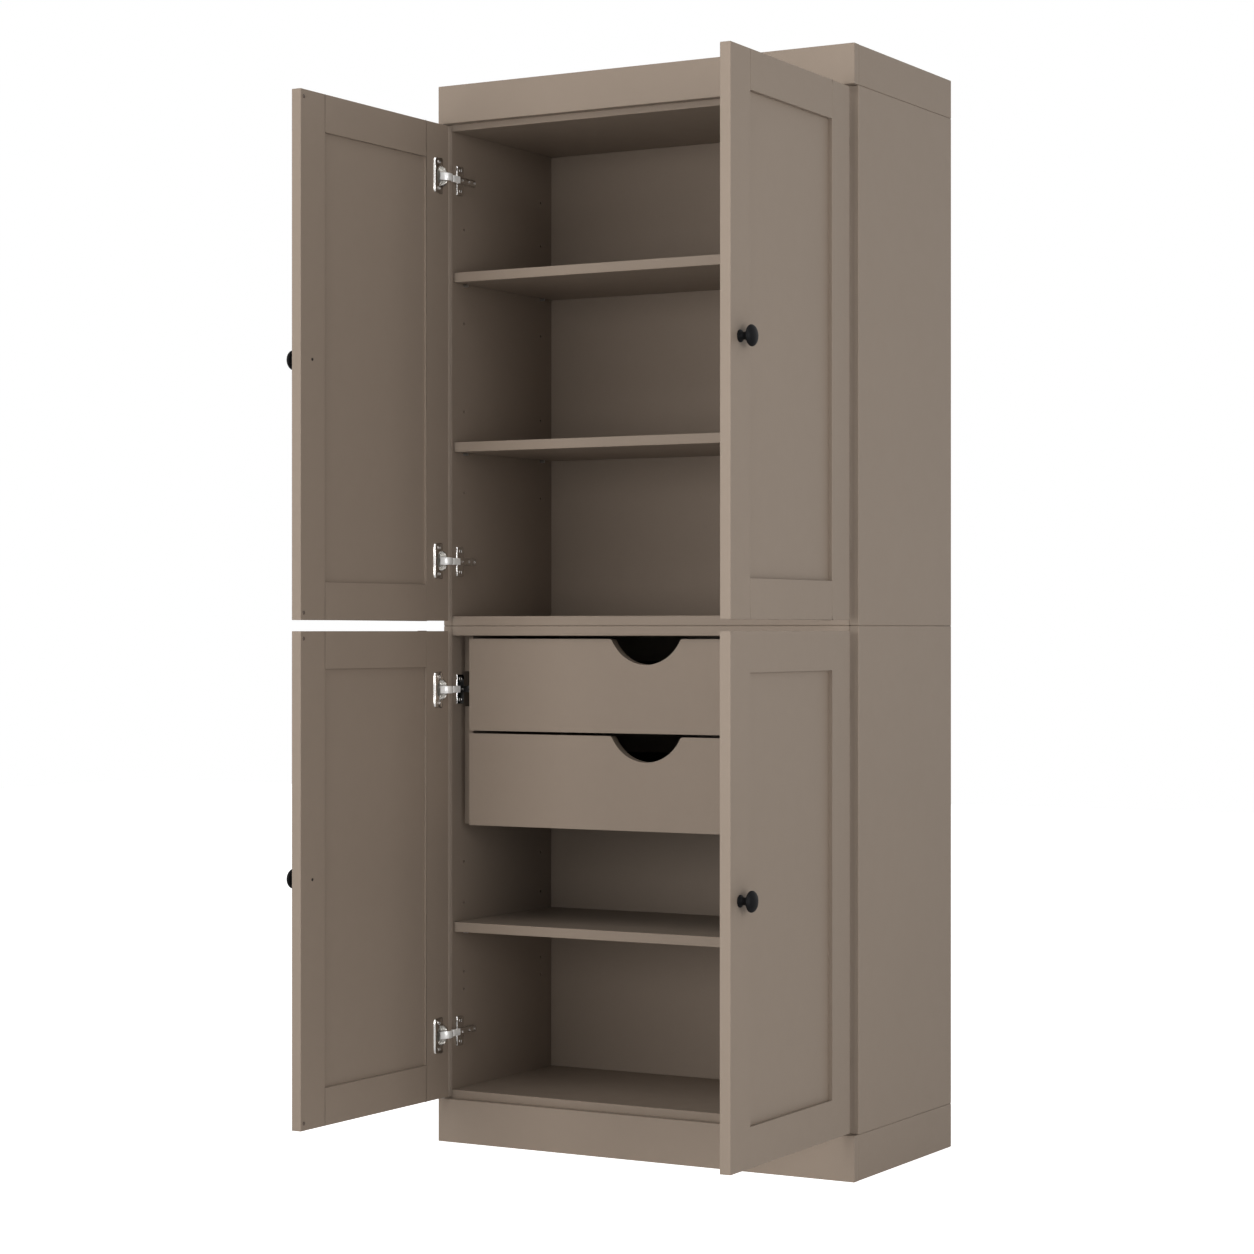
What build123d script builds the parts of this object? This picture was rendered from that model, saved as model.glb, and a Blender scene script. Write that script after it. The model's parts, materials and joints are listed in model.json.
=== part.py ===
"""A two-part pantry cabinet: a shelf cabinet standing on a drawer cabinet, four framed doors, two drawers.

Millimetres, +Z up, doors open as at rest. The origin is on the floor, under the middle of the carcase.
Left is -X, the doors are on the -Y side, and what is on the right is the mirror image of the left.
"""

import os
from math import cos, radians, sin

from build123d import *

# ---- overall sizes
width = 810.0
depth = 367.0
height = 1830.0
seam_z = 894.0  # where the upper cabinet stands on the lower one

# ---- boards
board = 17.0  # sides, tops, bottoms and shelves
facing = 16.0  # crown front and plinth front, which stand proud of the carcase by this much
crown_h = 65.6
plinth_h = 74.4
top_drop = 11.0  # how far the top panel shows below the crown
bottom_rise = 13.7  # how far the bottom panel shows above the plinth
back_t = 6.0
back_inset = 28.0  # from the rear plane to the back panels
groove_d = 6.0  # how deep the back panels enter the sides

# ---- shelves
shelf_tops = {"upper_shelf_high": 1508.5, "upper_shelf_low": 1213.5, "lower_shelf": 379.0}
shelf_setback = 5.0
shelf_gap = 1.0  # at each end
pin_d = 5.0
pin_len = 17.0
pin_depth = 9.0  # how far a pin or a spare hole enters the side
pin_play = 0.1
pin_front = 37.0  # front row, behind the carcase front edge
pin_rear = 70.0  # rear row, ahead of the rear plane
spare_holes = {  # spare pin heights, from the underside of the shelf
    "upper_shelf_high": (-69.0, 95.0, 174.0),
    "upper_shelf_low": (-70.0, 72.0),
    "lower_shelf": (-72.0, -103.0, 48.0, 120.0),
}

# ---- doors
door_t = 18.0
door_reveal = 2.0  # from the side plane to the door's edge
door_gap = 2.0  # behind a closed door, and between the two doors of a pair
door_end_gap = 5.0  # under the crown and over the plinth
door_seam_gap = 9.0  # over and under the seam
rail_w = 62.0
stile_w = 63.0
recess_out = 7.5
recess_in = 5.0
tongue = 8.0  # how deep the door panel enters its frame
pivot_in = 3.8  # the door's axis, inboard of the side plane
pivot_ahead = 6.3  # the door's axis, ahead of the crown's front
open_angle = 91.0

# ---- knobs
knob_z = {"upper": 1325.0, "lower": 483.0}
knob_inset = 30.0  # from the free edge
knob_base_r = 9.5
knob_neck_r = 5.8
knob_head_r = 16.5
knob_base_t = 2.0
knob_waist = 9.0  # from the door to the narrowest place
knob_rim = 17.0  # and to the under edge of the head
knob_foot_curve = (0.8, 2.8)  # (past the neck, past the base) at the middle of the foot's curve
knob_under_curve = (2.6, 4.6)  # (past the neck, past the waist) at the middle of the head's underside
knob_under_in = 1.6  # where the underside ends, inside the head's radius
knob_rim_curve = (2.2, 4.6)  # the middle and the end of the rim, past its under edge
knob_crown_in = 1.4  # where the crown begins, inside the head's radius
knob_len = 27.0
knob_screw_d = 4.0
knob_screw_head = 8.0
knob_screw_rise = 2.0
screw_play = 0.1

# ---- concealed hinges
hinge_z = {"upper": (1006.0, 1670.0), "lower": (188.0, 784.0)}
cup_d = 35.0
cup_from_edge = 21.0
cup_depth = 12.0
cup_wall = 0.8
cup_play = 0.1
wing_w = 26.0
wing_h = 62.0
wing_t = 1.0
wing_from_edge = 17.0
wing_round = 5.0
wing_rim = 1.5  # the flange round the cup, past its edge
wing_screw_in = 9.5  # from the cup's centre to the line of its screws
wing_screw_pitch = 45.0
hinge_screw_d = 4.0
hinge_screw_head = 7.0
hinge_screw_len = 11.0
hinge_screw_short = 1.0  # how far a screw stops before the end of its hole
wing_screw_rise = 1.2
plate_screw_rise = 1.6
plate_from_front = 11.0
plate_len = 21.0
plate_h = 53.0
plate_t = 2.0
plate_spine_past = 2.0  # how far the plate's spine shows above and below the arm
plate_screw_pitch = 36.0
arm_h = 10.0
arm_rise = 7.0
arm_tail = 64.0
arm_pin_in = 8.0  # the arm's pin, inboard of the side's inner face
arm_pin_ahead = 8.0  # and ahead of the carcase front edge
arm_pin_d = 2.4
arm_pin_play = 0.05
arm_pin_past = 1.0  # how much longer the pin is than the link is wide
arm_tip_r = 2.6
link_route = ((7.5, -12.0), (7.5, -24.5), (2.0, -28.5), (-1.0, -37.0))  # (inboard, back) from the pin
link_w = 3.6
link_web = 1.6
link_cheek = 1.2
link_play = 0.3  # between each cheek and the arm

# ---- drawers
drawer_top_gap = 5.1
drawer_between = 4.8
drawer_front_h = 159.3
drawer_setback = 8.0
drawer_front_t = 16.0
drawer_side_t = 13.0
drawer_box_h = 105.0
drawer_box_rise = 14.0  # the box's lower edge over the front's lower edge
drawer_bottom_t = 5.0
drawer_bottom_rise = 8.0
drawer_rear_gap = 14.0
scoop_w = 136.0
scoop_d = 43.5
scoop_round = 7.0
spacer_t = 18.0
spacer_setback = 39.0
spacer_notch_play = 4.0  # round the hinges that stand beside the drawers

# ---- telescopic slides
slide_t = 13.0
slide_h = 42.0
slide_wall = 1.4
slide_play = 0.1
slide_step = 50.0  # slides come in lengths this far apart
slide_rear_gap = 3.0  # at least this much in front of the back panel
slide_start = 30.0  # behind the drawer front
slide_lip = 8.0
slide_mid_in = 2.4
slide_inner_lip = 6.6

# ---- fittings
cam_d = 15.0
cam_t = 12.0
cam_from_end = 34.0
cam_play = 0.1
cam_sink = 0.5  # below the panel's face
bolt_d = 6.0
bolt_head_d = 12.0
bolt_head_t = 4.0
bolt_x = 300.0
bracket_w = 70.0
bracket_leaf = 42.0
bracket_t = 2.5
bracket_hole = 5.5
bracket_pitch = 40.0

# ---- planes that everything is placed by
side_x = width / 2
inner_x = side_x - board
front_y = -depth / 2
rear_y = depth / 2
case_y = front_y + facing
crown_z = height - crown_h
top_z = crown_z - top_drop  # underside of the top panel
bottom_z = plinth_h + bottom_rise  # upper face of the bottom panel
back_y = rear_y - back_inset - back_t  # inner face of the back panels
closed_y = case_y - door_gap - door_t  # outer face of a closed door
door_w = side_x - door_reveal - door_gap / 2
door_spans = {
    "upper": (seam_z + door_seam_gap, crown_z - door_end_gap),
    "lower": (plinth_h + door_end_gap, seam_z - door_seam_gap),
}
spacer_x = inner_x - spacer_t
drawer_x = spacer_x - slide_t
drawer_y = case_y + drawer_setback
drawer_box_y = drawer_y + drawer_front_t
drawer_tops = {
    "upper_drawer": seam_z - board - drawer_top_gap,
    "lower_drawer": seam_z - board - drawer_top_gap - drawer_front_h - drawer_between,
}
drawer_zone_z = drawer_tops["lower_drawer"] - drawer_front_h
slide_y = drawer_box_y + slide_start
slide_len = slide_step * ((back_y - slide_rear_gap - slide_y) // slide_step)

# The left doors' axis, and the corner and directions of a left door as it stands open.
pivot = Vector(-side_x + pivot_in, front_y - pivot_ahead)
turn = radians(open_angle)
corner_in = door_reveal - pivot_in
corner_back = closed_y - (front_y - pivot_ahead)
door_corner = pivot + Vector(
    corner_in * cos(turn) + corner_back * sin(turn),
    corner_back * cos(turn) - corner_in * sin(turn),
)
door_along = Vector(cos(turn), -sin(turn))
door_out = Vector(-sin(turn), -cos(turn))
door_plane = Plane(origin=door_corner, x_dir=door_along, z_dir=door_out)

os.makedirs("parts", exist_ok=True)


def save(piece, name):
    """Label a finished piece and write it as one STEP file."""
    piece.label = name
    export_step(piece, f"parts/{name}.step")


def right_of(piece):
    """The mirror image of a piece of the left half."""
    return mirror(piece, about=Plane.YZ)


def block(x, y, z, mode=Mode.ADD):
    """Add or cut a block between two values on each axis, in the part in progress."""
    with Locations(((x[0] + x[1]) / 2, (y[0] + y[1]) / 2, (z[0] + z[1]) / 2)):
        Box(x[1] - x[0], y[1] - y[0], z[1] - z[0], mode=mode)


def rod(plane, places, diameter, length, mode=Mode.ADD):
    """Add or cut round rods that start on a plane, at places in its own axes."""
    foot = Align.MIN if length > 0 else Align.MAX
    align = (Align.CENTER, Align.CENTER, foot)
    with Locations(*[plane.location * Pos(u, v) for u, v in places]):
        Cylinder(diameter / 2, abs(length), align=align, mode=mode)


# ---- carcase: sides
def pin_places(shelf):
    """Where a shelf's pins go on a side, as (y, z)."""
    z = shelf_tops[shelf] - board - pin_d / 2
    return [(case_y + pin_front, z), (rear_y - pin_rear, z)]


def hole_places(shelf):
    """Where a shelf's spare holes go on a side, as (y, z)."""
    rise = [shelf_tops[shelf] - board + h for h in spare_holes[shelf]]
    return [(y, z) for z in rise for y in (case_y + pin_front, rear_y - pin_rear)]


def wing_screw_places(level):
    """Where the screws of a door's hinge cups go on its inner face, as (from the edge, z)."""
    half = wing_screw_pitch / 2
    return [(cup_from_edge + wing_screw_in, z + s * half) for z in hinge_z[level] for s in (-1, 1)]


def plate_screw_places(level):
    """Where the screws of a door's hinge plates go on a side, as (y, z)."""
    y = case_y + plate_from_front + plate_len / 2
    half = plate_screw_pitch / 2
    return [(y, z + s * half) for z in hinge_z[level] for s in (-1, 1)]


def side_panel(level, z, shelves):
    """A left side with its pin holes, the pilot holes of its hinge plates and its back panel groove."""
    inner = Plane(origin=(-inner_x, 0, 0), x_dir=(0, 1, 0), z_dir=(1, 0, 0))
    with BuildPart() as panel:
        block((-side_x, -inner_x), (case_y, rear_y), z)
        for shelf in shelves:
            places = pin_places(shelf) + hole_places(shelf)
            rod(inner, places, pin_d + 2 * pin_play, -pin_depth, Mode.SUBTRACT)
        pilot = hinge_screw_d + 2 * screw_play
        rod(inner, plate_screw_places(level), pilot, -hinge_screw_len, Mode.SUBTRACT)
        block((-inner_x - groove_d, -inner_x), (back_y, back_y + back_t), z, Mode.SUBTRACT)
    return panel.part


upper_left = side_panel("upper", (seam_z, crown_z), ["upper_shelf_high", "upper_shelf_low"])
save(upper_left, "upper_left_side")
save(right_of(upper_left), "upper_right_side")
lower_left = side_panel("lower", (plinth_h, seam_z), ["lower_shelf"])
save(lower_left, "lower_left_side")
save(right_of(lower_left), "lower_right_side")


# ---- carcase: tops and bottoms, with their cam locks and the bolts that join the two cabinets
cam_places = [
    (sx * (inner_x - cam_from_end), y)
    for sx in (-1, 1)
    for y in (case_y + pin_front, rear_y - pin_rear)
]
bolt_places = [
    (sx * bolt_x, y) for sx in (-1, 1) for y in (case_y + pin_front, rear_y - pin_rear)
]
panel_floors = {  # lower face of each panel, the side its cams open to, and whether bolts pass
    "upper_top_panel": (top_z, 1, False),
    "upper_bottom_panel": (seam_z, -1, True),
    "lower_top_panel": (seam_z - board, 1, True),
    "lower_bottom_panel": (bottom_z - board, -1, False),
}
for name, (floor, cam_side, bolted) in panel_floors.items():
    cam_face = Plane.XY.offset(floor + board if cam_side > 0 else floor)
    with BuildPart() as panel:
        block((-inner_x, inner_x), (case_y, rear_y), (floor, floor + board))
        cam_hole = cam_side * (cam_t + cam_sink)
        rod(cam_face, cam_places, cam_d + 2 * cam_play, -cam_hole, Mode.SUBTRACT)
        if bolted:
            away = Plane.XY.offset(floor if cam_side > 0 else floor + board)
            play = 2 * screw_play
            rod(Plane.XY.offset(floor), bolt_places, bolt_d + play, board, Mode.SUBTRACT)
            rod(away, bolt_places, bolt_head_d + play, cam_side * bolt_head_t, Mode.SUBTRACT)
    save(panel.part, name)

with BuildPart() as cam_locks:
    for floor, cam_side, _ in panel_floors.values():
        face = Plane.XY.offset(floor + board - cam_sink if cam_side > 0 else floor + cam_sink)
        rod(face, cam_places, cam_d, -cam_side * cam_t)
save(cam_locks.part, "cam_locks")

with BuildPart() as stack_bolts:
    low = seam_z - board
    rod(Plane.XY.offset(low), bolt_places, bolt_d, 2 * board)
    rod(Plane.XY.offset(low), bolt_places, bolt_head_d, bolt_head_t)
    rod(Plane.XY.offset(seam_z + board), bolt_places, bolt_head_d, -bolt_head_t)
save(stack_bolts.part, "stack_bolts")

# ---- carcase: back panels, crown and plinth
back_x = inner_x + groove_d
for name, z in {
    "upper_back_panel": (seam_z + board, top_z),
    "lower_back_panel": (bottom_z, seam_z - board),
}.items():
    with BuildPart() as back:
        block((-back_x, back_x), (back_y, back_y + back_t), z)
    save(back.part, name)

for name, z in {"crown": (crown_z, height), "plinth": (0, plinth_h)}.items():
    with BuildPart() as face_board:
        block((-side_x, side_x), (front_y, case_y), z)
    save(face_board.part, f"{name}_front")
    with BuildPart() as side_boards:
        block((-side_x, -inner_x), (case_y, rear_y), z)
        mirror(about=Plane.YZ)
    save(side_boards.part, f"{name}_sides")

with BuildPart() as plinth_back:
    block((-inner_x, inner_x), (rear_y - board, rear_y), (0, bottom_z - board))
save(plinth_back.part, "plinth_back")

with BuildPart() as plinth_brace:
    block((-board / 2, board / 2), (case_y, rear_y - board), (0, bottom_z - board))
save(plinth_brace.part, "plinth_brace")

# ---- the bracket that ties the cabinet to a wall
with BuildPart() as wall_bracket:
    top = top_z + board
    block((-bracket_w / 2, bracket_w / 2), (rear_y - bracket_leaf, rear_y), (top, top + bracket_t))
    block((-bracket_w / 2, bracket_w / 2), (rear_y - bracket_t, rear_y), (top, top + bracket_leaf))
    hole_y = rear_y - bracket_leaf / 2
    flat = [(sx * bracket_pitch / 2, hole_y) for sx in (-1, 1)]
    upright = [(sx * bracket_pitch / 2, top + bracket_leaf / 2) for sx in (-1, 1)]
    wall = Plane(origin=(0, rear_y, 0), x_dir=(1, 0, 0), z_dir=(0, -1, 0))
    rod(Plane.XY.offset(top), flat, bracket_hole, bracket_t, Mode.SUBTRACT)
    rod(wall, upright, bracket_hole, bracket_t, Mode.SUBTRACT)
save(wall_bracket.part, "wall_bracket")

# ---- shelves and their pins
for name, shelf_top in shelf_tops.items():
    with BuildPart() as shelf:
        half = inner_x - shelf_gap
        block((-half, half), (case_y + shelf_setback, back_y), (shelf_top - board, shelf_top))
    save(shelf.part, name)

with BuildPart() as shelf_pins:
    hole_floor = Plane(origin=(-inner_x - pin_depth, 0, 0), x_dir=(0, 1, 0), z_dir=(1, 0, 0))
    for name in shelf_tops:
        rod(hole_floor, pin_places(name), pin_d, pin_len)
    mirror(about=Plane.YZ)
save(shelf_pins.part, "shelf_pins")


# ---- doors, made as a left door stands open; the right ones are mirror images
def door_frame(level, z):
    """Stiles and rails, grooved for the panel, with the hinge cups' pockets and the knob's hole."""
    opening = (door_w - 2 * stile_w, z[1] - z[0] - 2 * rail_w)
    mid = (door_w / 2, (z[0] + z[1]) / 2)
    groove = (opening[0] + 2 * tongue, opening[1] + 2 * tongue)
    with BuildPart() as frame:
        with BuildSketch(door_plane):
            for u in (stile_w / 2, door_w - stile_w / 2):
                with Locations((u, mid[1])):
                    Rectangle(stile_w, z[1] - z[0])
        extrude(amount=-door_t)
        with BuildSketch(door_plane.offset(-recess_out)):
            with Locations(mid):
                Rectangle(*groove)
        extrude(amount=-(door_t - recess_out - recess_in), mode=Mode.SUBTRACT)
        inner = door_plane.offset(-door_t)
        cups = [(cup_from_edge, hz) for hz in hinge_z[level]]
        rod(inner, cups, cup_d + 2 * cup_play, cup_depth, Mode.SUBTRACT)
        rod(inner, wing_screw_places(level), hinge_screw_d, hinge_screw_len, Mode.SUBTRACT)
        knob_hole = [(door_w - knob_inset, knob_z[level])]
        rod(inner, knob_hole, knob_screw_d + 2 * screw_play, door_t, Mode.SUBTRACT)
    with BuildPart() as rails:
        with BuildSketch(door_plane):
            for v in (z[0] + rail_w / 2, z[1] - rail_w / 2):
                with Locations((mid[0], v)):
                    Rectangle(opening[0], rail_w)
        extrude(amount=-door_t)
        with BuildSketch(door_plane.offset(-recess_out)):
            with Locations(mid):
                Rectangle(opening[0], groove[1])
        extrude(amount=-(door_t - recess_out - recess_in), mode=Mode.SUBTRACT)
    return Compound(frame.part.solids() + rails.part.solids())


def door_panel(z):
    """The thin panel that floats in a door's frame."""
    with BuildPart() as panel:
        with BuildSketch(door_plane.offset(-recess_out)):
            with Locations((door_w / 2, (z[0] + z[1]) / 2)):
                Rectangle(
                    door_w - 2 * stile_w + 2 * tongue, z[1] - z[0] - 2 * rail_w + 2 * tongue
                )
        extrude(amount=-(door_t - recess_out - recess_in))
    return panel.part


def door_knob(level):
    """A mushroom knob on the door's outer face, with the screw that holds it from behind."""
    foot = door_plane * Pos(door_w - knob_inset, knob_z[level])
    axis_plane = Plane(origin=foot.position, x_dir=door_along, z_dir=(0, 0, 1))
    outward = 1 if (axis_plane.y_dir - door_out).length < 1 else -1
    with BuildPart() as knob:
        with BuildSketch(axis_plane):
            with BuildLine():
                Polyline((0, 0), (knob_base_r, 0), (knob_base_r, outward * knob_base_t))
                foot_arc = ThreePointArc(
                    (knob_base_r, outward * knob_base_t),
                    (knob_neck_r + knob_foot_curve[0], outward * (knob_base_t + knob_foot_curve[1])),
                    (knob_neck_r, outward * knob_waist),
                )
                under = ThreePointArc(
                    foot_arc @ 1,
                    (knob_neck_r + knob_under_curve[0], outward * (knob_waist + knob_under_curve[1])),
                    (knob_head_r - knob_under_in, outward * knob_rim),
                )
                rim = ThreePointArc(
                    under @ 1,
                    (knob_head_r, outward * (knob_rim + knob_rim_curve[0])),
                    (knob_head_r - knob_crown_in, outward * (knob_rim + knob_rim_curve[1])),
                )
                TangentArc((0, outward * knob_len), rim @ 1, tangent=(1, 0))
                Line((0, outward * knob_len), (0, 0))
            make_face()
        revolve(axis=Axis(foot.position, door_out))
    with BuildPart() as screw:
        behind = door_plane.offset(-door_t)
        place = [(door_w - knob_inset, knob_z[level])]
        rod(behind, place, knob_screw_d, door_t)
        rod(behind, place, knob_screw_head, -knob_screw_rise)
    return Compound(knob.part.solids() + screw.part.solids())


def hinge_cups(level):
    """The two hinge cups of a door: a drawn pot with a screwed wing plate, and its two screws."""
    inner = door_plane.offset(-door_t)
    with BuildPart() as cups:
        for hz in hinge_z[level]:
            place = [(cup_from_edge, hz)]
            with BuildSketch(inner):
                with Locations((wing_from_edge + wing_w / 2, hz)):
                    RectangleRounded(wing_w, wing_h, wing_round)
                with Locations(*place):
                    Circle(cup_d / 2 + wing_rim)
            extrude(amount=-wing_t)
            rod(inner, place, cup_d, cup_depth)
            rod(inner.offset(-wing_t), place, cup_d - 2 * cup_wall, wing_t + cup_depth - cup_wall,
                Mode.SUBTRACT)
        rod(inner.offset(-wing_t), wing_screw_places(level), hinge_screw_d, wing_t, Mode.SUBTRACT)
    with BuildPart() as wing_screws:
        shank = hinge_screw_d - 2 * screw_play
        reach = wing_t + hinge_screw_len - hinge_screw_short
        rod(inner.offset(-wing_t), wing_screw_places(level), shank, reach)
        rod(inner.offset(-wing_t), wing_screw_places(level), hinge_screw_head, -wing_screw_rise)
    return Compound(cups.part.solids() + wing_screws.part.solids())


for level, z in door_spans.items():
    pieces = {
        "door_frame": door_frame(level, z),
        "door_panel": door_panel(z),
        "knob": door_knob(level),
        "hinge_cups": hinge_cups(level),
    }
    for name, piece in pieces.items():
        save(piece, f"{level}_left_{name}")
        save(right_of(piece), f"{level}_right_{name}")

# ---- hinge plates, arms and plate screws, all on the sides
all_hinges = [z for zs in hinge_z.values() for z in zs]
arm_tip = Vector(-inner_x + arm_pin_in, case_y - arm_pin_ahead)
link_span = arm_h + 2 * (link_play + link_cheek)

with BuildPart() as hinge_plates:
    for hz in all_hinges:
        y = (case_y + plate_from_front, case_y + plate_from_front + plate_len)
        block((-inner_x, -inner_x + plate_t), y, (hz - plate_h / 2, hz + plate_h / 2))
        spine = (case_y + plate_from_front, case_y + arm_tail)
        spine_half = arm_h / 2 + plate_spine_past
        block((-inner_x, -inner_x + plate_t), spine, (hz - spine_half, hz + spine_half))
    on_side = Plane(origin=(-inner_x, 0, 0), x_dir=(0, 1, 0), z_dir=(1, 0, 0))
    for level in hinge_z:
        screws = plate_screw_places(level)
        rod(on_side, screws, hinge_screw_d + 2 * screw_play, plate_t, Mode.SUBTRACT)
    mirror(about=Plane.YZ)
save(hinge_plates.part, "hinge_plates")

with BuildPart() as hinge_plate_screws:
    for level in hinge_z:
        screws = plate_screw_places(level)
        rod(on_side.offset(plate_t), screws, hinge_screw_d, -(plate_t + hinge_screw_len - hinge_screw_short))
        rod(on_side.offset(plate_t), screws, hinge_screw_head, plate_screw_rise)
    mirror(about=Plane.YZ)
save(hinge_plate_screws.part, "hinge_plate_screws")

with BuildPart() as hinge_arms:
    for hz in all_hinges:
        low_face = -inner_x + plate_t
        tail_y = case_y + arm_tail
        with BuildSketch(Plane.XY.offset(hz - arm_h / 2)):
            with BuildLine():
                Polyline(
                    (low_face, tail_y),
                    (low_face, case_y + plate_from_front),
                    (arm_tip.X - arm_tip_r, arm_tip.Y),
                    (arm_tip.X + arm_tip_r, arm_tip.Y),
                    (arm_tip.X + arm_tip_r, case_y + plate_from_front),
                    (low_face + arm_rise, case_y + plate_from_front + plate_len),
                    (low_face + arm_rise, tail_y),
                    close=True,
                )
            make_face()
            with Locations(arm_tip):
                Circle(arm_tip_r)
        extrude(amount=arm_h)
        pin_len_z = link_span + arm_pin_past
        rod(Plane.XY.offset(hz - pin_len_z / 2), [(arm_tip.X, arm_tip.Y)], arm_pin_d, pin_len_z)
    mirror(about=Plane.YZ)
save(hinge_arms.part, "hinge_arms")

# ---- hinge links: each turns on its arm's pin and reaches into its cup, where it has clearance
for level, heights in hinge_z.items():
    with BuildPart() as links:
        for hz in heights:
            with BuildSketch(Plane.XY.offset(hz - link_span / 2)):
                with BuildLine():
                    Polyline(arm_tip, *[arm_tip + Vector(*p) for p in link_route])
                trace(line_width=link_w)
                with Locations(arm_tip):
                    Circle(link_w / 2)
            extrude(amount=link_span)
            gap = link_span / 2 - link_cheek
            with BuildSketch(Plane.XY.offset(hz - gap)):
                with BuildLine():
                    Polyline(arm_tip, *[arm_tip + Vector(*p) for p in link_route])
                trace(line_width=2 * link_w)
                with Locations(arm_tip):
                    Circle(link_w)
            extrude(amount=2 * gap, mode=Mode.SUBTRACT)
            with BuildSketch(Plane.XY.offset(hz - gap)):
                with BuildLine():
                    Polyline(*[arm_tip + Vector(*p) for p in link_route])
                trace(line_width=link_web)
            extrude(amount=2 * gap)
            bore = arm_pin_d + 2 * arm_pin_play
            low = Plane.XY.offset(hz - link_span / 2)
            rod(low, [(arm_tip.X, arm_tip.Y)], bore, link_span, Mode.SUBTRACT)
    save(links.part, f"{level}_left_hinge_links")
    save(right_of(links.part), f"{level}_right_hinge_links")


# ---- drawers
def drawer(name, front_top):
    """Write one drawer's pieces: a front with its finger scoop, sides, back, bottom and slide members."""
    front_low = front_top - drawer_front_h
    box = (front_low + drawer_box_rise, front_low + drawer_box_rise + drawer_box_h)
    box_rear = back_y - drawer_rear_gap
    inner_half = drawer_x - drawer_side_t
    floor = box[0] + drawer_bottom_rise
    groove = drawer_side_t / 2
    with BuildPart() as front:
        front_face = Plane(origin=(0, drawer_y, 0), x_dir=(1, 0, 0), z_dir=(0, -1, 0))
        with BuildSketch(front_face):
            with BuildLine():
                scoop = ThreePointArc(
                    (-scoop_w / 2, front_top), (0, front_top - scoop_d), (scoop_w / 2, front_top)
                )
                Polyline(
                    scoop @ 1,
                    (drawer_x, front_top),
                    (drawer_x, front_low),
                    (-drawer_x, front_low),
                    (-drawer_x, front_top),
                    scoop @ 0,
                )
            make_face()
        extrude(amount=-drawer_front_t)
        lips = front.edges().filter_by(Axis.Y).group_by(Axis.Z)[-1]
        fillet(lips.sort_by(Axis.X)[1:3], scoop_round)
    save(front.part, f"{name}_front")
    with BuildPart() as sides:
        block((-drawer_x, -inner_half), (drawer_box_y, box_rear), box)
        slot = (floor, floor + drawer_bottom_t)
        block((-inner_half - groove, -inner_half), (drawer_box_y, box_rear), slot, Mode.SUBTRACT)
        mirror(about=Plane.YZ)
    save(sides.part, f"{name}_sides")
    with BuildPart() as rear:
        over = floor + drawer_bottom_t
        block((-inner_half, inner_half), (box_rear - drawer_side_t, box_rear), (over, box[1]))
    save(rear.part, f"{name}_back")
    with BuildPart() as bottom:
        half = inner_half + groove
        block((-half, half), (drawer_box_y, box_rear), (floor, floor + drawer_bottom_t))
    save(bottom.part, f"{name}_bottom")
    return (box[0] + box[1]) / 2


def channel(x, y, z_mid, half_h, opens_inward):
    """Add one member of a left slide: a web along Y with a lip along each long edge."""
    web = (x[0], x[0] + slide_wall) if opens_inward else (x[1] - slide_wall, x[1])
    block(web, y, (z_mid - half_h, z_mid + half_h))
    for s in (-1, 1):
        edge = z_mid + s * (half_h - slide_wall / 2)
        block(x, y, (edge - slide_wall / 2, edge + slide_wall / 2))


slide_span = (slide_y, slide_y + slide_len)
mid_half = slide_h / 2 - slide_wall - slide_play
inner_half_h = mid_half - slide_wall - slide_play
slide_heights = {name: drawer(name, top) for name, top in drawer_tops.items()}
for name, z_mid in slide_heights.items():
    with BuildPart() as middle:
        mid_x = (-spacer_x + slide_mid_in, -spacer_x + slide_mid_in + slide_lip)
        channel(mid_x, slide_span, z_mid, mid_half, True)
        mirror(about=Plane.YZ)
    save(middle.part, f"{name}_slide_middles")
    with BuildPart() as inner_members:
        inner_span = (-drawer_x - slide_inner_lip, -drawer_x)
        channel(inner_span, slide_span, z_mid, inner_half_h, False)
        mirror(about=Plane.YZ)
    save(inner_members.part, f"{name}_slide_inners")

with BuildPart() as slide_outers:
    for z_mid in slide_heights.values():
        channel((-spacer_x, -spacer_x + slide_lip), slide_span, z_mid, slide_h / 2, True)
    mirror(about=Plane.YZ)
save(slide_outers.part, "slide_outers")

with BuildPart() as drawer_spacers:
    zone = (drawer_zone_z, seam_z - board)
    block((-inner_x, -spacer_x), (case_y + spacer_setback, back_y), zone)
    notch_y = (case_y + spacer_setback, case_y + arm_tail + spacer_notch_play)
    for hz in hinge_z["lower"]:
        reach = plate_h / 2 + spacer_notch_play
        block((-inner_x, -spacer_x), notch_y, (hz - reach, hz + reach), Mode.SUBTRACT)
    mirror(about=Plane.YZ)
save(drawer_spacers.part, "drawer_spacers")
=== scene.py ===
"""A tall pantry cabinet in satin greige paint: its boards, doors, drawers and fittings, dressed over the frame."""

import json
import logging
import math
from dataclasses import dataclass
from enum import Enum
from typing import Callable

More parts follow.
